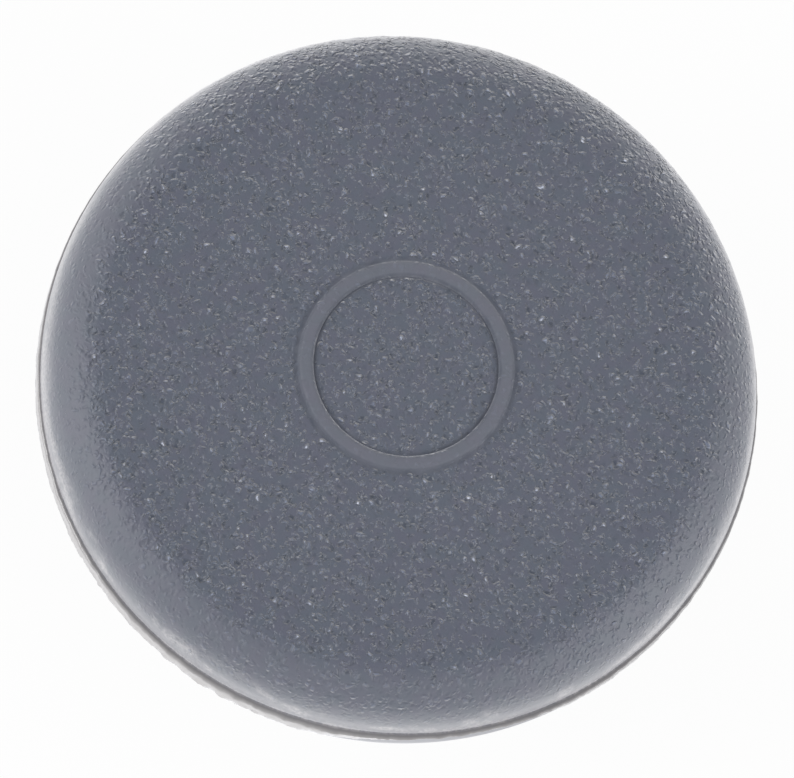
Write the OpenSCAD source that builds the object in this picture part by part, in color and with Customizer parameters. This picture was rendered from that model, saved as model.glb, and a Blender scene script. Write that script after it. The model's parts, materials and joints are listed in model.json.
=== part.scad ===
// Rubber stopper for a small glass vial: a flange that lies on the vial's lip
// and a hollow plug that seals inside its neck, moulded as one piece.
//
// +Z is up and is the stopper's own axis. The origin is at the centre of the
// plug's open end, where the stopper stands when it is put down, flange up.
//
// The whole form is one revolved section. It is drawn in the right half-plane,
// with x as the distance from the axis and y as the height, from squares,
// circles and short polygons, so that every wall is a true cylinder, cone,
// plane or torus.

/* [Flange] */
// Diameter over the trimmed edge
flange_d = 19.1; // [17:0.1:21]
// Thickness from the seat to the top face
flange_h = 3.3; // [3:0.1:4]
// Radius of the rounded upper edge, which ends at the trimmed edge
crown_r = 1.75; // [1:0.05:1.9]
// Height of the trimmed edge, where the moulded sheet was cut
trim_h = 0.4; // [0.3:0.05:0.6]
// How far the trimmed edge stands out from the moulded flange
trim_step = 0.12; // [0.04:0.01:0.2]
// Radius of the rounded lower edge
heel_r = 0.45; // [0.1:0.05:0.45]

/* [Target ring] */
// Diameter along the middle of the raised ring round the piercing area
ring_d = 5.3; // [4:0.1:8]
// Width of the ring
ring_w = 0.43; // [0.3:0.01:0.6]
// Height of the ring above the top face
ring_h = 0.12; // [0.12:0.01:0.2]
// Radius of the ring's rounded edges
ring_edge_r = 0.09; // [0.05:0.01:0.1]

/* [Plug] */
// Diameter of the sealing land, a little larger than the neck it seals
plug_d = 13.2; // [12.4:0.1:14]
// Length of the whole plug below the seat
plug_h = 5.5; // [4.8:0.1:7]
// Height of the sealing land
land_h = 2.8; // [2:0.1:3.2]
// How far the lead-in draws the wall in, from the land to the open end
lead_in = 0.5; // [0.2:0.05:0.6]
// Radius of the rounded outer edge at the open end
tip_r = 0.6; // [0.3:0.05:0.7]

/* [Hollow] */
// Diameter of the hollow at the open end
mouth_d = 8.4; // [7.8:0.1:8.8]
// Diameter that the hollow narrows to at its roof
roof_d = 7.2; // [6.8:0.1:7.6]
// Thickness of rubber left for a needle to pierce
pierce_h = 2.4; // [2:0.1:3]
// Radius between the hollow's wall and its roof
roof_r = 1; // [0.4:0.1:1.4]
// Width of the bevel round the mouth
mouth_bevel = 0.25; // [0.1:0.05:0.3]

/* [Hidden] */
$fn = 128;

// Heights, from the open end up
seat_z = plug_h;
top_z = plug_h + flange_h;
trim_z = top_z - crown_r - trim_h;
land_z = seat_z - land_h;
roof_z = top_z - pierce_h;

// Radii
trim_radius = flange_d / 2;
flange_radius = trim_radius - trim_step;
plug_radius = plug_d / 2;
tip_radius = plug_radius - lead_in;
mouth_radius = mouth_d / 2;
roof_radius = roof_d / 2;

// How far a cut runs past the face that it opens
past = 1;
// How far a corner is tucked under a rounding, so that the two cross cleanly
tuck = 0.0005;

// A quarter disc that fills the corner from the origin to [r, r]
module quarter(r) {
    intersection() {
        circle(r);
        square(r);
    }
}

// A block from the axis to radius r, its outer upper edge rounded by edge_r
module crowned_block(r, h, edge_r) {
    square([r - edge_r, h]);
    square([r, h - edge_r]);
    translate([r - edge_r, h - edge_r]) quarter(edge_r);
}

// The flange: crowned above the trimmed edge, square-cut at it, and rounded
// back to the seat below it
module flange_section() {
    translate([0, trim_z]) {
        crowned_block(flange_radius, trim_h + crown_r, crown_r);
        square([trim_radius, trim_h]);
        mirror([0, 1]) crowned_block(flange_radius, trim_z - seat_z, heel_r);
    }
}

// The raised ring, with both of its upper edges rounded. It is rooted in the
// flange by its own height.
module ring_section() {
    half_w = ring_w / 2;
    translate([ring_d / 2, top_z - ring_h]) for (side = [0, 1]) mirror([side, 0])
        crowned_block(half_w, 2 * ring_h, ring_edge_r);
}

// The plug: a straight land that seals and runs up into the flange, then a
// lead-in that narrows to the rounded open end. The lead-in is tangent to the
// rounding.
module plug_section() {
    round_centre = [tip_radius - tip_r, tip_r];
    run = plug_radius - round_centre.x;
    rise = land_z - round_centre.y;
    // Angle, below the level, of the radius to the point where the lead-in
    // touches the rounding, and that point, tucked a hair inside it
    touch = acos(tip_r / norm([run, rise])) - atan2(rise, run);
    touch_point = round_centre + (tip_r - tuck) * [cos(touch), -sin(touch)];
    translate([0, land_z]) square([plug_radius, trim_z - land_z]);
    polygon([[0, 0], [round_centre.x, 0], round_centre, touch_point, [plug_radius, land_z], [0, land_z]]);
    translate([round_centre.x, round_centre.y]) mirror([0, 1]) quarter(tip_r);
}

// The hollow inside the plug, with a rounded roof and a bevelled mouth
module hollow_section() {
    bevel_radius = mouth_radius + mouth_bevel;
    polygon([
        [0, -past], [bevel_radius, -past], [bevel_radius, 0], [mouth_radius, mouth_bevel],
        [roof_radius, roof_z - roof_r], [0, roof_z - roof_r]
    ]);
    translate([0, mouth_bevel]) crowned_block(roof_radius, roof_z - mouth_bevel, roof_r);
}

module stopper() {
    color([0.4, 0.42, 0.46]) rotate_extrude() difference() {
        union() {
            flange_section();
            ring_section();
            plug_section();
        }
        hollow_section();
    }
}

stopper();
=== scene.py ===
# %% [markdown]
# # A rubber stopper for a glass vial
#
# The real thing is one piece of moulded grey rubber. A round flange lies on the vial's lip,
# and a hollow plug below it seals inside the neck. The flange's top face has the fine
# pebbled grain of the mould, with a smooth raised ring that shows where a needle goes in.
#
# The measured solid comes first. It is loaded as a fixed frame, and everything that follows
# is fitted to it, in metres.

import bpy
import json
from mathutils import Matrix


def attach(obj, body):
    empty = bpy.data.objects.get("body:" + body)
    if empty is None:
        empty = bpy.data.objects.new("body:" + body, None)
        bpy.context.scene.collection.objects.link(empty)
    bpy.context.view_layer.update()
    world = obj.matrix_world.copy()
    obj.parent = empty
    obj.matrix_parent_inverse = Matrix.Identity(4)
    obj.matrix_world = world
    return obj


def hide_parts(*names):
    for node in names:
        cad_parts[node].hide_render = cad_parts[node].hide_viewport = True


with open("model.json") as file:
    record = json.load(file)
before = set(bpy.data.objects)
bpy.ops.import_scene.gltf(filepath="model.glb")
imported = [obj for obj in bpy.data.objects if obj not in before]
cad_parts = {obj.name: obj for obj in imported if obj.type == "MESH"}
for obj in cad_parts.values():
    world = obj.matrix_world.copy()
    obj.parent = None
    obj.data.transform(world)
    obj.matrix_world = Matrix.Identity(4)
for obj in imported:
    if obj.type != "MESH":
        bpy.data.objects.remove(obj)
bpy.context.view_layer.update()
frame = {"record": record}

# %% [markdown]
# ## The sizes
#
# The mounts in the frame's record already hold the sizes that matter for the fit: how high
# the seat and the top face lie, how wide the plug and the flange are. Reading them from
# there keeps this skin true to the solid. Roundings and the ring are named later, each where
# it is drawn, because no mount speaks of them.

# %% Sizes from the frame
import json
import math
from math import radians

import bmesh
import bpy
from mathutils import Matrix, Vector, noise

MM = 0.001
TRIM_STEP = 0.12 * MM

mounts = {mount["name"]: mount for mount in frame["record"]["mounts"]}
seat_z = mounts["seat"]["pos_m"][2]
top_z = mounts["top"]["pos_m"][2]
plug_radius = mounts["plug"]["dims"]["r_mm"] * MM
land_z = mounts["plug"]["pos_m"][2] - mounts["plug"]["dims"]["length_mm"] * MM / 2
trim_h = mounts["rim"]["dims"]["length_mm"] * MM
trim_bottom = mounts["rim"]["pos_m"][2] - trim_h / 2
trim_top = trim_bottom + trim_h
widest_radius = mounts["rim"]["dims"]["r_mm"] * MM
flange_radius = widest_radius - TRIM_STEP
crown_r = top_z - trim_top
print("flange", round(flange_radius / MM, 3), "mm, crown", round(crown_r / MM, 3), "mm")

# %% [markdown]
# ## A pen that draws the section
#
# A turned or moulded round part is easiest to make as half of its section, spun about the
# axis. The pen below draws that half in the XZ plane. A straight stroke extrudes the pen's
# tip again and again, and an arc is the tip itself, spun about the arc's centre.

# %% The pen
class Pen:
    """Draws a stretch of the section, from a starting radius and height."""

    def __init__(self, radius, height):
        self.mesh = bmesh.new()
        self.tip = self.mesh.verts.new((radius, 0, height))
        self.first = (radius, height)

    def line(self, radius, height, spacing):
        """A straight stroke to a point, with vertices about spacing apart."""
        start = self.tip.co.copy()
        end = Vector((radius, 0, height))
        pieces = max(1, round((end - start).length / spacing))
        for piece in range(1, pieces + 1):
            grown = bmesh.ops.extrude_vert_indiv(self.mesh, verts=[self.tip])
            self.tip = grown["verts"][0]
            self.tip.co = start.lerp(end, piece / pieces)

    def arc(self, centre_radius, centre_height, degrees, spacing):
        """An arc about a centre. Positive degrees turn from up towards outwards."""
        centre = Vector((centre_radius, 0, centre_height))
        length = abs(radians(degrees)) * (self.tip.co - centre).length
        swept = bmesh.ops.spin(
            self.mesh, geom=[self.tip], cent=centre, axis=(0, 1, 0),
            angle=radians(degrees), steps=max(2, round(length / spacing)),
        )
        self.tip = swept["geom_last"][0]

    @property
    def last(self):
        """The radius and height that the pen has come to."""
        return self.tip.co.x, self.tip.co.z


trial = Pen(0, 1 * MM)
trial.arc(0, 0, 90, 0.2 * MM)
print("a quarter turn from 1 mm up ends", round(trial.last[0] / MM, 3), "mm out")
trial.mesh.free()

# %% [markdown]
# ## Spinning in bands
#
# One spin with the same number of steps everywhere would crowd its vertices at the middle
# and leave them too far apart at the edge, where the grain has to show. So the skin is spun
# in bands. On the top face each band has half the steps of the next one out, and under the
# flange, where nothing is grained, the steps halve again. bridge_loops joins neighbours.
# It needs the two open rims, and they are found by their radius and height, so that the
# script keeps no vertex numbers.
#
# A spin slows down quickly as its steps grow. Each band therefore spins a narrow wedge
# first and then spins that wedge round as copies, which remove_doubles closes.

# %% The skin, band by band
WEDGES = 12
SAME_PLACE = 0.001 * MM
SAME_CIRCLE = 0.002 * MM
skin = bmesh.new()
rims = []


def spin_band(pen, steps):
    """Spin what the pen drew, add it to the skin and bridge it to the band before."""
    last = pen.last
    full_turn = 2 * math.pi
    band = pen.mesh
    about = {"cent": (0, 0, 0), "axis": (0, 0, 1)}
    bmesh.ops.spin(
        band, geom=band.verts[:] + band.edges[:], angle=full_turn / WEDGES,
        steps=steps // WEDGES, **about,
    )
    bmesh.ops.spin(
        band, geom=band.verts[:] + band.edges[:] + band.faces[:],
        angle=full_turn * (WEDGES - 1) / WEDGES, steps=WEDGES - 1, use_duplicate=True, **about,
    )
    bmesh.ops.remove_doubles(band, verts=band.verts, dist=SAME_PLACE)
    carrier = bpy.data.meshes.new("band")
    band.to_mesh(carrier)
    band.free()
    skin.from_mesh(carrier)
    bpy.data.meshes.remove(carrier)
    if rims:
        bmesh.ops.bridge_loops(skin, edges=rim_edges(*rims[-1]) + rim_edges(*pen.first))
    rims.append(last)


def rim_edges(radius, height):
    """The open edges of the skin that lie on one circle about the axis."""
    def on_circle(vertex):
        off_radius = abs(vertex.co.xy.length - radius)
        return off_radius < SAME_CIRCLE and abs(vertex.co.z - height) < SAME_CIRCLE

    open_edges = [edge for edge in skin.edges if edge.is_boundary]
    return [edge for edge in open_edges if all(map(on_circle, edge.verts))]


print("each band is spun as", WEDGES, "wedges of", 360 // WEDGES, "degrees")

# %% [markdown]
# ## The middle of the top face
#
# The flat area inside the ring is where the needle goes in. It starts as a small disc, a
# capped circle, so that the axis needs no pole of long thin triangles. Five bands run out
# from the disc, each with twice the steps of the one before, and with vertices close enough
# together to hold the grain that is raised later.

# %% Inside the ring
GRAIN_STEP = 0.075 * MM
BUTTON_RADIUS = 0.08 * MM
BAND_ENDS = [0.16 * MM, 0.32 * MM, 0.65 * MM, 1.2 * MM, 2.33 * MM]

bmesh.ops.create_circle(
    skin, cap_ends=True, cap_tris=True, segments=WEDGES, radius=BUTTON_RADIUS,
    matrix=Matrix.Translation((0, 0, top_z)),
)
rims.append((BUTTON_RADIUS, top_z))

steps = WEDGES
inner = BUTTON_RADIUS
for outer in BAND_ENDS:
    pen = Pen(inner + min(GRAIN_STEP, (outer - inner) / 2), top_z)
    pen.line(outer, top_z, GRAIN_STEP)
    spin_band(pen, steps)
    steps *= 2
    inner = outer
print("inside the ring:", len(skin.faces), "faces, and the next band has", steps, "steps")

# %% [markdown]
# ## The raised ring
#
# The target ring is polished in the mould, and low: less than a tenth of a millimetre.
# Each of its sides is an S, a hollow rounding at the foot that flows into a round edge at
# the crest, with the same steepness where the two meet. That steepness follows from the
# height and the two radii, so the side is worked out and not drawn by eye. Outside the ring
# the same band runs on across the flat, with close vertices first, where dirt will lie.

# %% Ring, and the top face around it
FINE_STEP = 0.03 * MM
RING_D = 5.3 * MM
RING_W = 0.43 * MM
RING_H = 0.075 * MM
RING_CREST = 0.13 * MM
RING_FOOT_R = 0.05 * MM
RING_EDGE_R = 0.158 * MM
FOOT_WIDTH = 0.15 * MM
FINE_FROM = 6.2 * MM

steepness = math.acos(1 - RING_H / (RING_FOOT_R + RING_EDGE_R))
side_width = (RING_FOOT_R + RING_EDGE_R) * math.sin(steepness)
side_turn = math.degrees(steepness)
crest_inner = RING_D / 2 - RING_CREST / 2
crest_outer = RING_D / 2 + RING_CREST / 2
crest_z = top_z + RING_H - RING_EDGE_R
foot_z = top_z + RING_FOOT_R

pen = Pen(inner + GRAIN_STEP / 2, top_z)
pen.arc(crest_inner - side_width, foot_z, -side_turn, FINE_STEP / 2)
pen.arc(crest_inner, crest_z, side_turn, FINE_STEP)
pen.line(crest_outer, top_z + RING_H, GRAIN_STEP)
pen.arc(crest_outer, crest_z, side_turn, FINE_STEP)
pen.arc(crest_outer + side_width, foot_z, -side_turn, FINE_STEP / 2)
pen.line(crest_outer + side_width + FOOT_WIDTH, top_z, FINE_STEP)
pen.line(FINE_FROM, top_z, GRAIN_STEP)
spin_band(pen, steps)
print("ring sides:", round(side_turn, 1), "degrees,", round(side_width / MM, 3), "mm wide")

# %% [markdown]
# ## The crown and the trimmed edge
#
# Stoppers are moulded side by side in a sheet and punched out of it. The punch leaves a low
# band that stands out round the flange, square-cut, with a narrow ledge above it. Above the
# ledge the flange is crowned, and below the band it turns in to the seat.
#
# The crown is a quarter arc that carries the grain, so it gets the most steps of all. The
# band's corners are rounded by a twentieth of a millimetre, because a corner without any
# rounding catches no light. The band is drawn a little inside its widest radius, which
# leaves room for the drift that it gets below.

# %% Crown and trimmed edge
MOST_STEPS = 768
TRIM_EDGE_R = 0.05 * MM
TRIM_DRIFT = 0.06 * MM

trim_radius = widest_radius - TRIM_DRIFT
pen = Pen(FINE_FROM + GRAIN_STEP, top_z)
pen.line(flange_radius - crown_r, top_z, GRAIN_STEP)
pen.arc(flange_radius - crown_r, trim_top, 90, GRAIN_STEP)
pen.line(trim_radius - TRIM_EDGE_R, trim_top, FINE_STEP)
pen.arc(trim_radius - TRIM_EDGE_R, trim_top - TRIM_EDGE_R, 90, FINE_STEP / 2)
pen.line(trim_radius, trim_bottom + TRIM_EDGE_R, GRAIN_STEP)
pen.arc(trim_radius - TRIM_EDGE_R, trim_bottom + TRIM_EDGE_R, 90, FINE_STEP)
pen.line(flange_radius, trim_bottom, FINE_STEP)
spin_band(pen, MOST_STEPS)
print("with the crown and the trimmed edge:", len(skin.faces), "faces")

# %% [markdown]
# ## The heel, the seat and the plug
#
# Below the band the flange turns in by a rounded heel to the flat seat, which lies on the
# vial's lip. The plug starts with a straight land that seals, and then leads in to a rounded
# open end, so that it finds its way into the neck. The lead-in is tangent to that rounding.
# The touch point is worked out from the land's end and the rounding's centre and radius, in
# vectors of two numbers: a radius and a height.
#
# Nothing here carries grain, so the vertices lie further apart.

# %% Heel, seat and plug
PLAIN_STEP = 0.15 * MM
HEEL_R = 0.45 * MM
LEAD_IN = 0.5 * MM
TIP_R = 0.6 * MM
MOUTH_RADIUS = 4.2 * MM
MOUTH_BEVEL = 0.25 * MM

tip_centre = Vector((plug_radius - LEAD_IN - TIP_R, TIP_R))
run = plug_radius - tip_centre.x
rise = land_z - tip_centre.y
touch = math.acos(TIP_R / math.hypot(run, rise)) - math.atan2(rise, run)
touch_point = tip_centre + TIP_R * Vector((math.cos(touch), -math.sin(touch)))

pen = Pen(flange_radius, trim_bottom - GRAIN_STEP)
pen.line(flange_radius, seat_z + HEEL_R, PLAIN_STEP)
pen.arc(flange_radius - HEEL_R, seat_z + HEEL_R, 90, PLAIN_STEP)
spin_band(pen, MOST_STEPS // 2)

pen = Pen(flange_radius - HEEL_R - PLAIN_STEP, seat_z)
pen.line(plug_radius, seat_z, 2 * PLAIN_STEP)
pen.line(plug_radius, land_z, 2 * PLAIN_STEP)
pen.line(touch_point.x, touch_point.y, 2 * PLAIN_STEP)
pen.arc(tip_centre.x, tip_centre.y, 90 - math.degrees(touch), PLAIN_STEP)
pen.line(MOUTH_RADIUS + MOUTH_BEVEL, 0, 2 * PLAIN_STEP)
pen.line(MOUTH_RADIUS, MOUTH_BEVEL, PLAIN_STEP)
spin_band(pen, MOST_STEPS // 4)
print("lead-in meets the tip at", round(touch_point.y / MM, 3), "mm above the foot")

# %% [markdown]
# ## The hollow
#
# A hollow makes the plug soft enough to squeeze into a neck, and leaves a thin wall of
# rubber for the needle. Its wall narrows a little, so that the mould's core draws out, and
# it ends in a rounded roof. The roof's middle is a pole: the pen ends on the axis, and the
# copies of that last vertex merge into one, as the band's other doubles do.
#
# The skin is closed now, so its normals can be turned outwards in one go.

# %% The hollow, up to its roof
PIERCE_H = 2.4 * MM
ROOF_RADIUS = 3.6 * MM
ROOF_R = 1.0 * MM

roof_z = top_z - PIERCE_H
pen = Pen(MOUTH_RADIUS, 2 * MOUTH_BEVEL)
pen.line(ROOF_RADIUS, roof_z - ROOF_R, 2 * PLAIN_STEP)
pen.arc(ROOF_RADIUS - ROOF_R, roof_z - ROOF_R, -90, PLAIN_STEP)
pen.line(0, roof_z, 2 * PLAIN_STEP)
spin_band(pen, MOST_STEPS // 8)
bmesh.ops.recalc_face_normals(skin, faces=skin.faces)
open_edges = sum(edge.is_boundary for edge in skin.edges)
print("skin:", len(skin.faces), "faces,", open_edges, "open edges")

# %% [markdown]
# ## A soft step
#
# From here on the skin is cut, grained and worn, and each of these happens in some places
# and not in others. A share from 0 to 1 says where. A share that jumps leaves a hard line,
# so it changes along a smooth S between two limits.

# %% Fade between two limits
def fade(value, low, high):
    """0 below low, 1 above high and a smooth change between them."""
    share = max(0.0, min(1.0, (value - low) / (high - low)))
    return share * share * (3 - 2 * share)


print("from 0 to 1 in quarters:", [round(fade(quarter / 4, 0, 1), 2) for quarter in range(5)])

# %% [markdown]
# ## The punch's drift
#
# A punch never cuts rubber quite true, because the sheet gives under it. The band that it
# leaves is therefore off centre and a little oval, and its cut face leans: its upper and its
# lower corner stand out by different amounts all round. Each corner is described here as a
# maker would describe a worn bore, by its mean, its drift to one side and its oval. Noise
# tears the cut a little, and a shallow nick breaks the lower corner on one side.

# %% Describe the cut
NICK_DEPTH = 0.19 * MM
NICK_ANGLE = -61
NICK_WIDTH = 24
RAGGED = 0.22
RAGGED_PITCH = 0.35 * MM
TORN = 0.12
TORN_PITCH = 0.1 * MM


def cut_line(angle, mean, drift, drift_towards, oval, oval_towards):
    """How far a corner stands out at an angle in degrees, from three lengths in mm."""
    off_centre = drift * math.cos(radians(angle - drift_towards))
    ovalness = oval * math.cos(2 * radians(angle - oval_towards))
    return MM * (mean + off_centre + ovalness)


def cut_at(place):
    """How far the band stands out at a place on it."""
    angle = math.degrees(math.atan2(place.y, place.x))
    upper = cut_line(
        angle, mean=0.079, drift=0.08, drift_towards=-78, oval=0.02, oval_towards=-62,
    )
    lower = cut_line(
        angle, mean=0.104, drift=0.09, drift_towards=-86, oval=0.04, oval_towards=-100,
    )
    lower -= NICK_DEPTH * (1 - fade(abs(angle - NICK_ANGLE), 0, NICK_WIDTH))
    down = (trim_top - place.z) / trim_h
    ragged = RAGGED * noise.noise(place / RAGGED_PITCH)
    torn = TORN * noise.noise(place / TORN_PITCH)
    return (upper + (lower - upper) * max(0, min(1, down))) * (1 + ragged + torn)


for angle in (-90, 0, 90, 180):
    place = Matrix.Rotation(radians(angle), 4, "Z") @ Vector((trim_radius, 0, trim_bottom))
    print("towards", angle, "the lower corner stands out", round(cut_at(place) / MM, 3), "mm")

# %% [markdown]
# ## Cutting the band
#
# Every vertex of the band was drawn at some share of the way out, from the flange to the
# band's drawn radius. It keeps that share and moves to where the cut now is, so the rounded
# corners stay rounded.
#
# Two attributes go with the vertices, for the material. One says that a vertex is on the
# band, and the other says how much painted light the band gets: little on the ledge, which
# stays in painted shade, and most on the cut face, low down and far out.

# %% Cut the band
MOVED_FROM = 0.1
CUT_FADE = (0.03, 0.28)
BRIGHT_OUT = (0.4, 1)
BRIGHT_DOWN = (0.08, 0.35)

cut = skin.verts.layers.float.new("cut")
cut_light = skin.verts.layers.float.new("cut_light")
drawn_step = trim_radius - flange_radius
for vertex in skin.verts:
    share_out = (vertex.co.xy.length - flange_radius) / drawn_step
    if share_out > MOVED_FROM:
        down = (trim_top - vertex.co.z) / trim_h
        vertex[cut] = fade(share_out, *CUT_FADE)
        # This share is painted light: palest far out and low down on the cut face.
        vertex[cut_light] = 0.5 * fade(share_out, *BRIGHT_OUT) + 0.5 * fade(down, *BRIGHT_DOWN)
        new_radius = flange_radius + cut_at(vertex.co) * share_out
        vertex.co.xy *= new_radius / vertex.co.xy.length
print("widest at", round(max(vertex.co.xy.length for vertex in skin.verts) / MM, 3), "mm")

# %% [markdown]
# ## Where the grain lies
#
# The mould is spark-eroded, which leaves a grain of small pips between shallow swells. The
# ring and the ledge were polished, so the grain fades out there, along a ragged line, and
# only a trace of it is left on the ring. The corner at the ring's foot is darkened with
# painted shade.
#
# Each of these is a mask: a function of a place on the skin that gives a share from 0 to 1.

# %% Masks for the grain and for the painted shade at the ring's foot
PIP_PITCH = 0.2 * MM
SPOT_PITCH = 0.3 * MM
GRAIN_ENDS = 0.1 * MM
GRAIN_FULL = 0.7 * MM
RING_GRAIN = 0.18
RING_FADE = (0.04 * MM, 0.1 * MM)
RING_RAGGED = 0.05 * MM
SHADE_INNER = (-0.11 * MM, -0.04 * MM)
SHADE_OUTER = (0.05 * MM, FOOT_WIDTH)
SHADE_DEPTHS = (0.1 * MM, 0.05 * MM)


def off_the_ring(place):
    """How far a place lies outside the ring's sides, negative on the ring itself."""
    return abs(place.xy.length - RING_D / 2) - RING_W / 2


def grain_mask(place):
    """Where the mould was eroded: the top face and the crown, and faintly the ring."""
    ragged = RING_RAGGED * noise.noise(place / PIP_PITCH)
    on_top = fade(place.z, trim_top + GRAIN_ENDS, trim_top + GRAIN_FULL)
    off_ring = fade(off_the_ring(place) + ragged, *RING_FADE)
    return on_top * (RING_GRAIN + (1 - RING_GRAIN) * off_ring)


def ring_foot_shade(place):
    """Painted shade, in the corner at the foot of the raised ring."""
    away = off_the_ring(place)
    corner = fade(away, *SHADE_INNER) * (1 - fade(away, *SHADE_OUTER))
    patchy = 0.8 + 0.4 * noise.noise(place / SPOT_PITCH)
    on_flat = fade(place.z, *(top_z - depth for depth in SHADE_DEPTHS))
    return corner * patchy * on_flat


for name, radius in (("middle", 0), ("ring", RING_D / 2), ("flat", 4 * MM)):
    place = Vector((radius, 0, top_z))
    print(name, "grain", round(grain_mask(place), 2), "painted_shade", round(ring_foot_shade(place), 2))

# %% [markdown]
# ## How it has worn
#
# Fingers have smoothed the grain where the crown turns, less on the far side than on the
# others. Low on the crown the rubber is painted pale. It is partly a bloom, as on stored
# rubber, and mostly painted sheen, which is why it is paler on the far side, where the crown
# turns away from the eye. It is taken back in streaks, most on the near side. Angles, in
# degrees about the axis, name the side on which each of these is strongest.
#
# The streaks come from noise that is read round the crown and down its slope, with a pitch
# of its own for each, so they run along the crown.

# %% Masks for the wear and for the painted sheen
SIDE_FADE = (0.1, 0.9)
STREAK_TURNS = 7
STREAK_SLOPE = 11
STREAK_FADE = (-0.1, 0.6)
TURNING_SLOPES = (8, 34)
LOWER_SLOPES = (55, 78)
HANDLED_TOWARDS = -158
THINNED_TOWARDS = -80
PALER_TOWARDS = 95


def crown_slope(place):
    """The crown's slope at a place, in degrees: 0 on the top face and 90 at the ledge."""
    return math.degrees(math.acos(max(0, min(1, (place.z - trim_top) / crown_r))))


def towards(place, angle):
    """1 on the side of the flange that an angle in degrees points to, 0 on the other."""
    away = math.degrees(math.atan2(place.y, place.x)) - angle
    return fade(math.cos(radians(away)), *SIDE_FADE)


def sheen_bloom_thinned(place):
    """How much of the bloom and painted sheen is taken back, in streaks along the crown."""
    along = place.xy.normalized() * STREAK_TURNS
    streaks = noise.noise((along.x, along.y, crown_slope(place) / STREAK_SLOPE))
    spots = noise.noise(place / SPOT_PITCH)
    return fade(streaks + 0.5 * spots + 0.5 * towards(place, THINNED_TOWARDS), *STREAK_FADE)


def handled(place):
    """How far fingers have smoothed the grain: most where the crown turns."""
    slope = crown_slope(place)
    turning = fade(slope, *TURNING_SLOPES) * (1 - 0.4 * fade(slope, *LOWER_SLOPES))
    untouched = towards(place, PALER_TOWARDS)
    return turning * (0.1 + 0.5 * (1 - untouched) + 0.2 * towards(place, HANDLED_TOWARDS))


for angle in (-90, 0, 90, 180):
    turned = Matrix.Rotation(radians(angle), 4, "Z")
    place = turned @ Vector((flange_radius - crown_r / 2, 0, trim_top + 0.7 * crown_r))
    print("towards", angle, "the grain is smoothed by", round(handled(place), 2))

# %% [markdown]
# ## The shape of a pip
#
# Pips that are wide enough to catch the mesh are real geometry. A Voronoi pattern tells how
# far a place is from the nearest of many scattered centres, which makes one round pip for
# each centre. The place is stirred by noise first, so the pips come out in all sizes and
# none is quite round. The seed matters: Blender shifts noise_vector by a random draw that
# would otherwise follow the clock.

# %% Height of a pip
GRAIN_SEED = 5
PIP_RADIUS = 0.55
STIR = 0.07 * MM
STIR_PITCH = 0.16 * MM


def pip_height(place):
    """How far the nearest pip rises at a place, from 0 to 1."""
    stirred = place + STIR * noise.noise_vector(place / STIR_PITCH)
    distances = noise.voronoi(stirred / PIP_PITCH)[0]
    return fade(PIP_RADIUS - distances[0], 0, PIP_RADIUS)


noise.seed_set(GRAIN_SEED)
row = [pip_height(Vector((step * PIP_PITCH, 0, top_z))) for step in range(100)]
print("pips cover", round(100 * sum(height > 0 for height in row) / len(row)), "% of a row")

# %% [markdown]
# ## Raising the grain
#
# Each vertex moves along its normal, by a pip and by a share of the shallow swells. All the
# moves are worked out first and made afterwards, so that no move changes the next place.
#
# The masks are kept as attributes, for the material to read: where the grain lies, where
# the ring's foot gets painted shade, where the pale bloom and painted sheen lie, and where
# the rubber is waxy. The bloom and sheen start at some slope of the crown, and their side
# and the streaks shift that slope by a few degrees.

# %% Raise the grain
PIP_HEIGHT = 0.02 * MM
SWELL_PITCH = 0.45 * MM
SWELL_HEIGHT = 0.009 * MM
FLANGE_FADE = 0.3 * MM
WAXY_SLOPES = (44, 78)
SHEEN_BLOOM_SLOPES = (57, 85)
SHEEN_BLOOM_EVERYWHERE = 2
SHEEN_BLOOM_PALER = 6
SHEEN_SHIFT_THINNED = 16
SHEEN_BLOOM_TAKEN_BACK = 0.3

skin.normal_update()
grain = skin.verts.layers.float.new("grain")
foot = skin.verts.layers.float.new("foot")
bloom_and_sheen = skin.verts.layers.float.new("bloom_and_sheen")
wax = skin.verts.layers.float.new("wax")
raised = []
for vertex in skin.verts:
    place = vertex.co
    slope = crown_slope(place)
    on_flange = fade(place.z, trim_bottom - FLANGE_FADE, trim_bottom)
    sheen_bloom_shift = SHEEN_BLOOM_EVERYWHERE + SHEEN_BLOOM_PALER * towards(place, PALER_TOWARDS)
    sheen_bloom_shift -= SHEEN_SHIFT_THINNED * sheen_bloom_thinned(place)
    vertex[grain] = grain_mask(place) * (1 - handled(place))
    # The foot mask is painted shade. The bloom mask is mostly painted sheen.
    vertex[foot] = ring_foot_shade(place)
    vertex[wax] = fade(slope, *WAXY_SLOPES) * on_flange
    vertex[bloom_and_sheen] = fade(slope + sheen_bloom_shift, *SHEEN_BLOOM_SLOPES) * on_flange
    vertex[bloom_and_sheen] *= 1 - SHEEN_BLOOM_TAKEN_BACK * sheen_bloom_thinned(place)
    if vertex[grain] > 0:
        swell = SWELL_HEIGHT * noise.noise(place / SWELL_PITCH) * vertex[grain]
        pip = PIP_HEIGHT * pip_height(place) * vertex[grain]
        raised.append((vertex, (pip + swell) * vertex.normal))
for vertex, lift in raised:
    vertex.co += lift
print(len(raised), "vertices carry the grain")

# %% [markdown]
# ## One object from the skin
#
# The stopper is one moulding, so it is one object, which stands for the solid and takes its
# finish. Smooth shading hides the small facets, and edges of more than 50 degrees stay
# sharp, so that the ledge and the seat keep their corners.
#
# A spin can hand out its edges and faces in another order each time it runs. They are put
# in line by the numbers of their vertices, so the finished mesh lists them the same way
# every time.

# %% Make the stopper
SHARP_FROM = 50


def place_in_line(element):
    """A number of its own for each edge or face, from its lowest vertex numbers."""
    number = 0
    for index in sorted(vertex.index for vertex in element.verts)[:3]:
        number = number * len(skin.verts) + index
    return number


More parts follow.
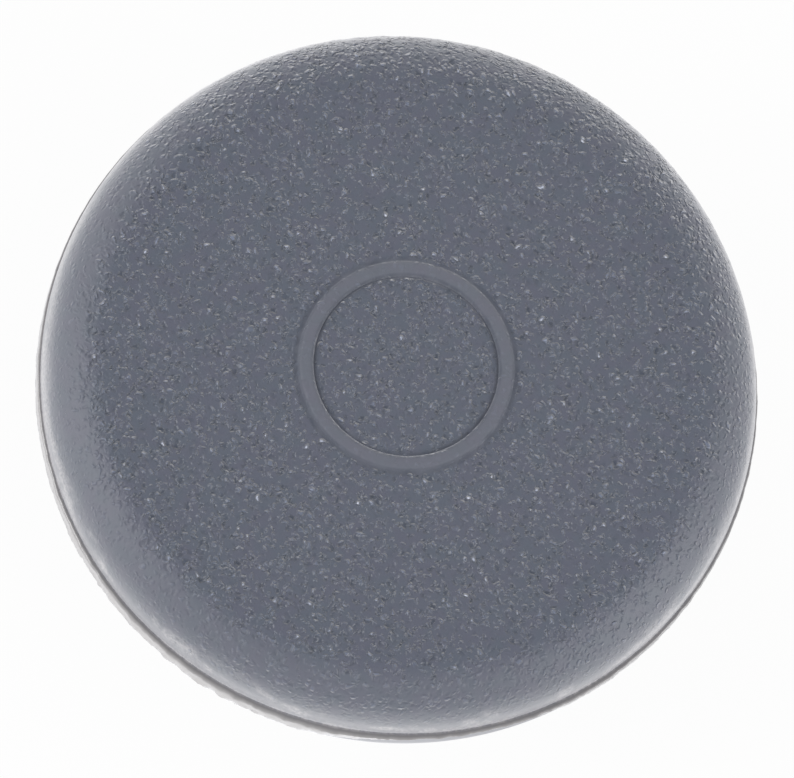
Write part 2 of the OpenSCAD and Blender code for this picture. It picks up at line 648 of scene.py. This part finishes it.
skin.verts.index_update()
skin.edges.sort(key=place_in_line)
skin.faces.sort(key=place_in_line)
mesh = bpy.data.meshes.new("stopper_skin")
skin.to_mesh(mesh)
skin.free()
mesh.shade_smooth()
mesh.set_sharp_from_angle(angle=radians(SHARP_FROM))
stopper = bpy.data.objects.new("stopper_skin", mesh)
bpy.context.scene.collection.objects.link(stopper)
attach(stopper, "root")
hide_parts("stopper")
mesh.calc_loop_triangles()
print("stopper_skin has", len(mesh.loop_triangles), "triangles")

# %% [markdown]
# ## Helpers for materials
#
# A node material is a chain of small sums and mixes, and writing out one node takes four or
# five lines. These helpers make a node, set it and link it in one call, so that the
# materials below read as what they do.

# %% Helpers that add nodes
def start_material(name):
    """A new node material: its tree and its Principled shader."""
    material = bpy.data.materials.new(name)
    material.use_nodes = True
    return material, material.node_tree, material.node_tree.nodes["Principled BSDF"]


def add_node(tree, kind, links=(), values=(), **settings):
    """Add a node, set what it is told, and link its inputs by name or number."""
    node = tree.nodes.new("ShaderNode" + kind)
    for setting, value in settings.items():
        setattr(node, setting, value)
    for socket, value in dict(values).items():
        node.inputs[socket].default_value = value
    for socket, source in dict(links).items():
        tree.links.new(source, node.inputs[socket])
    return node


def arithmetic(tree, operation, *terms):
    """A Math node on sockets or numbers."""
    links = {}
    values = {}
    for number, term in enumerate(terms):
        kind = values if isinstance(term, (int, float)) else links
        kind[number] = term
    return add_node(tree, "Math", links, values, operation=operation).outputs["Value"]


trial_material, trial_tree, _ = start_material("trial")
arithmetic(trial_tree, "ADD", 1.0, 2.0)
print("a new material with one sum has", len(trial_tree.nodes), "nodes")
bpy.data.materials.remove(trial_material)

# %% [markdown]
# ## The rubber
#
# Grey rubber is a matt, slightly waxy surface in a cool grey. Its colour is laid up from the
# body outwards: painted shade in the pits and at the ring's foot, then the bloom with its
# painted sheen, polish, pale pips with painted highlights and glints, and the cut edge in
# painted light and shade last. Patterns run in millimetres on Object coordinates. They are
# solid, so they go round the crown without a seam.

# %% Start the rubber
rubber, rubber_tree, rubber_shader = start_material("moulded_rubber")
mesh.materials.append(rubber)
in_metres = add_node(rubber_tree, "TexCoord").outputs["Object"]
in_mm = add_node(
    rubber_tree, "Mapping", {"Vector": in_metres}, {"Scale": (1 / MM, 1 / MM, 1 / MM)},
).outputs["Vector"]
print("rubber starts with", len(rubber_tree.nodes), "nodes")

# %% [markdown]
# ## Shorthand for the rubber
#
# These helpers are for this one material, and each gives a socket that the next can take.
# The one used most is covered(): it lays one colour over another by a share, as a layer of
# dust or wax does. The first two shares are read with them: where the mould was eroded, and
# what that leaves over, where it was polished.

# %% Helpers for the rubber
def attribute(name):
    """The value of a mesh attribute."""
    return add_node(rubber_tree, "Attribute", attribute_name=name).outputs["Fac"]


def clouds(pitch, detail):
    """Solid noise with lumps about a pitch in mm apart."""
    values = {"Scale": 1 / pitch, "Detail": detail}
    return add_node(rubber_tree, "TexNoise", {"Vector": in_mm}, values).outputs["Fac"]


def ramp(value, low, high, to_low=0.0, to_high=1.0):
    """A value's range, stretched and cut off to another range."""
    values = {"From Min": low, "From Max": high, "To Min": to_low, "To Max": to_high}
    return add_node(rubber_tree, "MapRange", {"Value": value}, values).outputs["Result"]


def plus(first, second):
    return arithmetic(rubber_tree, "ADD", first, second)


def times(first, second):
    return arithmetic(rubber_tree, "MULTIPLY", first, second)


def rest_of(value):
    """What a share leaves over."""
    return arithmetic(rubber_tree, "SUBTRACT", 1.0, value)


def covered(share, under, over):
    """A colour laid over another by a share."""
    links = {0: share}
    values = {}
    for number, color in ((6, under), (7, over)):
        kind = values if isinstance(color, tuple) else links
        kind[number] = color
    return add_node(rubber_tree, "Mix", links, values, data_type="RGBA").outputs[2]


eroded = attribute("grain")
polished = rest_of(eroded)
print("with its first two shares the rubber has", len(rubber_tree.nodes), "nodes")

# %% [markdown]
# ## Fine grain
#
# Much of the grain is finer than the mesh can hold. It is a cobble of cells: each cell of a
# Voronoi pattern is one pip, domed in its middle, and a second cobble, shifted away from the
# first, makes the pits. Both are stirred by noise, so that no cell is round. Every cell also
# has a colour of its own, whose red is used as a size that makes some pips large and leaves
# others nearly flat. The cells are scattered less than at random, because sparks hit the
# mould evenly.

# %% A cobble of fine cells
FINE_PITCH = 0.176
SCATTER = 0.75
CELL_CORE = 0.1
STIR_MM = 0.25
STIR_BY = 0.3


def fine_cells(corner, reach):
    """A cobble of solid cells: how near the middle of a cell, and the cell's own size."""
    moved = add_node(
        rubber_tree, "Mapping", {"Vector": in_mm}, {"Location": corner},
    ).outputs["Vector"]
    stir = add_node(
        rubber_tree, "TexNoise", {"Vector": moved}, {"Scale": 1 / STIR_MM, "Detail": 1.0},
    ).outputs["Color"]
    stirred = add_node(
        rubber_tree, "VectorMath", {0: stir, 2: moved}, {1: (STIR_BY, STIR_BY, STIR_BY)},
        operation="MULTIPLY_ADD",
    ).outputs["Vector"]
    cells = add_node(
        rubber_tree, "TexVoronoi", {"Vector": stirred},
        {"Scale": 1 / FINE_PITCH, "Randomness": SCATTER},
    ).outputs
    depth = add_node(
        rubber_tree, "MapRange", {"Value": cells["Distance"]},
        {"From Min": reach, "From Max": CELL_CORE}, interpolation_type="SMOOTHSTEP",
    ).outputs["Result"]
    size = add_node(rubber_tree, "SeparateColor", {"Color": cells["Color"]}).outputs["Red"]
    return depth, size


print("fine cells are", FINE_PITCH, "mm apart")

# %% [markdown]
# ## Pips and pits
#
# The fine cells show where the mould was eroded, which is what the grain attribute says, and
# a little less in patches where the rubber has worn bare. A pip's shine rises steeply with
# its size, so that only the largest pips stand out.

# %% Pips, pits and dust
PIP_REACH = 0.5
PIT_REACH = 0.58
PIT_CORNER = (31, 17, 5)
PATCH_MM = 0.8
PATCH_RANGE = (0.6, 0.38)
WORN_OFF = 0.35
DUST_MM = 0.09
SHINE_RISE = 4.0

bare = ramp(clouds(PATCH_MM, 2.0), *PATCH_RANGE)
grained = times(eroded, rest_of(times(bare, WORN_OFF)))
pip_depth, pip_size = fine_cells((0, 0, 0), PIP_REACH)
pit_depth, pit_size = fine_cells(PIT_CORNER, PIT_REACH)
pip_relief = times(pip_depth, grained)
pit_relief = times(times(pit_depth, pit_size), grained)
pip_shine = times(pip_relief, arithmetic(rubber_tree, "POWER", pip_size, SHINE_RISE))
dust = clouds(DUST_MM, 2.0)
print("pips and pits:", len(rubber_tree.nodes), "nodes so far")

# %% [markdown]
# ## Body, pits and dirt
# The compound is not one grey: it drifts a little between a cooler and a warmer tint. Pits
# are painted darker, as painted shade, and so is the corner at the ring's foot. Pits
# are darker, because less light gets out of them, and so is the corner where dirt sits.

# %% Colour of the body and of the painted shade
BODY_COLOR = (0.073, 0.091, 0.131, 1)
BODY_TINGE = (0.079, 0.088, 0.133, 1)
PAINTED_SHADE_COLOR = (0.01, 0.024, 0.055, 1)
TINGE_MM = 0.5
TINGE_RANGE = (0.35, 0.65)
FOOT_SHADE = 0.65

tinge = ramp(clouds(TINGE_MM, 1.0), *TINGE_RANGE)
body_color = covered(tinge, BODY_COLOR, BODY_TINGE)
# Painted shade: the pits and the corner at the ring's foot are darkened in the colour.
with_pit_shade = covered(pit_relief, body_color, PAINTED_SHADE_COLOR)
painted_foot_shade = attribute("foot")
with_foot_shade = covered(times(painted_foot_shade, FOOT_SHADE), with_pit_shade, PAINTED_SHADE_COLOR)
print("the body is", round(BODY_COLOR[1] / PAINTED_SHADE_COLOR[1], 1), "times as light as a pit")

# %% [markdown]
# ## Bloom with painted sheen, and polish
#
# The bloom is mostly painted sheen. It is powdery, so the dust pattern breaks it up, and
# half of it stays out of the pits, so that their painted shade shows. The polished parts,
# where the mould wasn't eroded, are a shade paler than the rest.

# %% Colour of the bloom with its painted sheen, and of the polished parts
SHEEN_BLOOM_COLOR = (0.49, 0.475, 0.495, 1)
POLISH_COLOR = (0.36, 0.35, 0.36, 1)
POLISHED = 0.14
DUST_RANGE = (0.38, 0.62)
POWDER_RANGE = (0.38, 1.15)
PITS_KEPT_CLEAR = 0.5

powdery = ramp(dust, *DUST_RANGE, *POWDER_RANGE)
sheen_bloom_share = times(attribute("bloom_and_sheen"), powdery)
clear_of_pits = rest_of(times(pit_relief, PITS_KEPT_CLEAR))
# Painted sheen, laid on as the bloom's pale colour.
with_sheen_bloom = covered(times(sheen_bloom_share, clear_of_pits), with_foot_shade, SHEEN_BLOOM_COLOR)
with_polish = covered(times(polished, POLISHED), with_sheen_bloom, POLISH_COLOR)
print("bloom and polish:", len(rubber_tree.nodes), "nodes so far")

# %% [markdown]
# ## Worn pips and glints
#
# The tops of the pips are painted pale, the largest the most: partly wear, and partly a
# painted highlight. A few of the largest get small near-white painted glints, which fall
# off steeply from a pip's middle.

# %% Colour of the pips, with painted highlights and glints
PIP_HIGHLIGHT_COLOR = (0.28, 0.335, 0.49, 1)
GLINT_COLOR = (0.82, 0.86, 1.0, 1)
PIP_WEAR_AND_HIGHLIGHT = 0.19
BIG_PIP_WEAR_AND_HIGHLIGHT = 0.62
GLINT_SIZES = (0.82, 0.93)
GLINT_FALL = 6.0
GLINT = 0.9

worn_and_lit_share = arithmetic(
    rubber_tree, "MULTIPLY_ADD", pip_relief, PIP_WEAR_AND_HIGHLIGHT, times(pip_shine, BIG_PIP_WEAR_AND_HIGHLIGHT),
)
# Painted highlights on the pip tops, partly wear, and painted glints below.
with_pip_highlights = covered(worn_and_lit_share, with_polish, PIP_HIGHLIGHT_COLOR)
middle = arithmetic(rubber_tree, "POWER", pip_relief, GLINT_FALL)
glint = times(ramp(pip_size, *GLINT_SIZES), middle)
with_glints = covered(times(glint, GLINT), with_pip_highlights, GLINT_COLOR)
print("one pip in", round(1 / (1 - GLINT_SIZES[0])), "can glint")

# %% [markdown]
# ## The cut edge
#
# The cut face is painted pale, as painted light: it stands in for the light and reflection
# that its steep face takes from the white floor. The ledge above it is painted darker, as
# painted shade in the corner. The two attributes made with the cut choose between them.

# %% Colour of the cut edge: painted light and painted shade
LEDGE_SHADE_COLOR = (0.11, 0.103, 0.112, 1)
CUT_LIGHT_COLOR = (0.5, 0.48, 0.48, 1)

# Painted shade on the ledge, painted light on the cut face.
cut_light_and_shade = covered(attribute("cut_light"), LEDGE_SHADE_COLOR, CUT_LIGHT_COLOR)
with_cut = covered(attribute("cut"), with_glints, cut_light_and_shade)
rubber_tree.links.new(with_cut, rubber_shader.inputs["Base Color"])
print("colour is done, with", len(rubber_tree.nodes), "nodes")

# %% [markdown]
# ## Relief
#
# The same cells raise a bump, so that light and colour agree: pips up, pits down, and dust
# between them.

# %% Bump from the fine cells
FINE_HEIGHT = 0.068 * MM
DUST_RELIEF = 0.45

relief = arithmetic(rubber_tree, "SUBTRACT", pip_relief, pit_relief)
relief = plus(relief, times(times(dust, DUST_RELIEF), grained))
relief = plus(relief, pip_shine)
bump = add_node(
    rubber_tree, "Bump", {"Height": relief}, {"Strength": 1.0, "Distance": FINE_HEIGHT},
)
rubber_tree.links.new(bump.outputs["Normal"], rubber_shader.inputs["Normal"])
print("fine pips rise up to", round(2 * FINE_HEIGHT / MM, 3), "mm")

# %% [markdown]
# ## Gloss
#
# Rubbed pips are glossier than the body, and polished places and the ring's foot are more
# matt. Rubber also lightens softly where it turns away from the eye, which is what the
# shader's sheen does. Low on the crown, wax that rises out of the compound lies on it like a
# thin coat.
#
# Only what changes from place to place is linked. What is the same everywhere is set on the
# shader itself.

# %% Gloss, coat and sheen
BODY_ROUGHNESS = 0.37
PIP_ROUGHNESS = 0.2
POLISH_MATT = 0.25
FOOT_MATT = 0.35

gloss = ramp(pip_shine, 0.0, 1.0, BODY_ROUGHNESS, PIP_ROUGHNESS)
matt = plus(times(polished, POLISH_MATT), times(painted_foot_shade, FOOT_MATT))
rubber_tree.links.new(plus(gloss, matt), rubber_shader.inputs["Roughness"])
rubber_tree.links.new(attribute("wax"), rubber_shader.inputs["Coat Weight"])
rubber_shader.inputs["Coat Roughness"].default_value = 0.3
rubber_shader.inputs["Coat IOR"].default_value = 1.9
rubber_shader.inputs["IOR"].default_value = 1.5
rubber_shader.inputs["Specular IOR Level"].default_value = 0.8
rubber_shader.inputs["Sheen Weight"].default_value = 1.0
rubber_shader.inputs["Sheen Roughness"].default_value = 0.5
rubber_shader.inputs["Sheen Tint"].default_value = (0.97, 0.97, 1.0, 1)
print("rubber is done, with", len(rubber_tree.nodes), "nodes")

# %% [markdown]
# ## The floor
#
# The stopper stands on white paper. Under soft light, plain white renders as a pale grey,
# and more light would wash out the rubber. So the paper glows white, but only for the eye
# and for reflections: Light Path tells those rays apart. A little of the paper's own shader
# stays in the mix, which keeps the stopper's shadow. The paper lies a hair below the plug's
# end, so that the two faces don't fight for one place.

# %% Floor
FLOOR_REACH = 0.6
FLOOR_GAP = 0.01 * MM
PAPER_COLOR = (0.9, 0.9, 0.9, 1)
PAPER_ROUGHNESS = 0.9
WHITENING = 0.95

floor_mesh = bpy.data.meshes.new("floor")
floor_builder = bmesh.new()
bmesh.ops.create_grid(
    floor_builder, x_segments=1, y_segments=1, size=FLOOR_REACH,
    matrix=Matrix.Translation((0, 0, -FLOOR_GAP)),
)
floor_builder.to_mesh(floor_mesh)
floor_builder.free()
floor = bpy.data.objects.new("floor", floor_mesh)
bpy.context.scene.collection.objects.link(floor)

paper, paper_tree, paper_shader = start_material("white_paper")
paper_shader.inputs["Base Color"].default_value = PAPER_COLOR
paper_shader.inputs["Roughness"].default_value = PAPER_ROUGHNESS
rays = add_node(paper_tree, "LightPath").outputs
seen = arithmetic(paper_tree, "MAXIMUM", rays["Is Camera Ray"], rays["Is Glossy Ray"])
seen = arithmetic(paper_tree, "MAXIMUM", seen, rays["Is Transmission Ray"])
whitened = arithmetic(paper_tree, "MULTIPLY", seen, WHITENING)
glow = add_node(paper_tree, "Emission", values={"Strength": 1.0})
blend = add_node(
    paper_tree, "MixShader",
    {0: whitened, 1: paper_shader.outputs["BSDF"], 2: glow.outputs["Emission"]},
)
surface = paper_tree.nodes["Material Output"].inputs["Surface"]
paper_tree.links.new(blend.outputs["Shader"], surface)
floor_mesh.materials.append(paper)
print("floor is", 2 * FLOOR_REACH, "m wide")

# %% [markdown]
# ## The light
#
# A small matt thing looks best in light from all sides, so an even white world does most of
# the work. Two soft lamps, low on either side, add the pale gleam along the crown and bring
# out the pips. They are wide for their distance, which keeps their shadows soft, and the
# camera doesn't see them. Their strength is given as radiance, the brightness of their face,
# because that stays the same when a lamp's size is changed.

# %% World and lamps
ROOM_LIGHT = 0.59
LAMP_DISTANCE = 0.25
LAMP_SIZE = 0.15

world = bpy.data.worlds.new("studio")
bpy.context.scene.world = world
world.use_nodes = True
background = world.node_tree.nodes["Background"]
background.inputs["Color"].default_value = (1, 1, 1, 1)
background.inputs["Strength"].default_value = ROOM_LIGHT


def softbox(name, around, elevation, radiance):
    """A square soft lamp that faces the flange from a direction given in degrees."""
    direction = Vector((
        math.cos(radians(elevation)) * math.cos(radians(around)),
        math.cos(radians(elevation)) * math.sin(radians(around)),
        math.sin(radians(elevation)),
    ))
    lamp = bpy.data.lights.new(name, "AREA")
    lamp.size = LAMP_SIZE
    lamp.energy = radiance * math.pi * LAMP_SIZE * LAMP_SIZE
    holder = bpy.data.objects.new(name, lamp)
    holder.visible_camera = False
    facing = direction.to_track_quat("Z", "Y").to_matrix().to_4x4()
    away = Matrix.Translation(Vector((0, 0, top_z)) + LAMP_DISTANCE * direction)
    holder.matrix_world = away @ facing
    bpy.context.scene.collection.objects.link(holder)
    print(name, "lamp gives", round(lamp.energy, 3), "W")


softbox("key", around=-156, elevation=27, radiance=4.3)
softbox("fill", around=-8, elevation=21, radiance=3.4)

# %% [markdown]
# ## The camera
#
# The view is nearly straight down, tilted a little, and turned about its own line of sight.
# It is taken from some thirty centimetres with a long lens, so the far side is hardly
# smaller than the near one. The camera's three axes are written out one by one, because such
# a turn is easier to follow that way than as three angles.

# %% Camera
TILT = radians(16.24)
TURN = radians(21.8)
DISTANCE = 0.3022
SENSOR_WIDTH = 36
LENS = 521.5
AIM_BELOW_TOP = 2.32 * MM

view_back = Vector((0, -math.sin(TILT), math.cos(TILT)))
image_up = Vector((0, math.cos(TILT), math.sin(TILT)))
image_right = Vector((1, 0, 0))
turned_right = image_right * math.cos(TURN) + image_up * math.sin(TURN)
turned_up = image_up * math.cos(TURN) - image_right * math.sin(TURN)
camera_data = bpy.data.cameras.new("camera")
camera_data.sensor_width = SENSOR_WIDTH
camera_data.lens = LENS
camera = bpy.data.objects.new("camera", camera_data)
stand = Vector((0, 0, top_z - AIM_BELOW_TOP)) + DISTANCE * view_back
axes = Matrix((turned_right, turned_up, view_back)).transposed().to_4x4()
camera.matrix_world = Matrix.Translation(stand) @ axes
bpy.context.scene.collection.objects.link(camera)
bpy.context.scene.camera = camera
bpy.context.scene.view_settings.view_transform = "Standard"
print("camera stands", round(stand.z / MM), "mm above the floor")
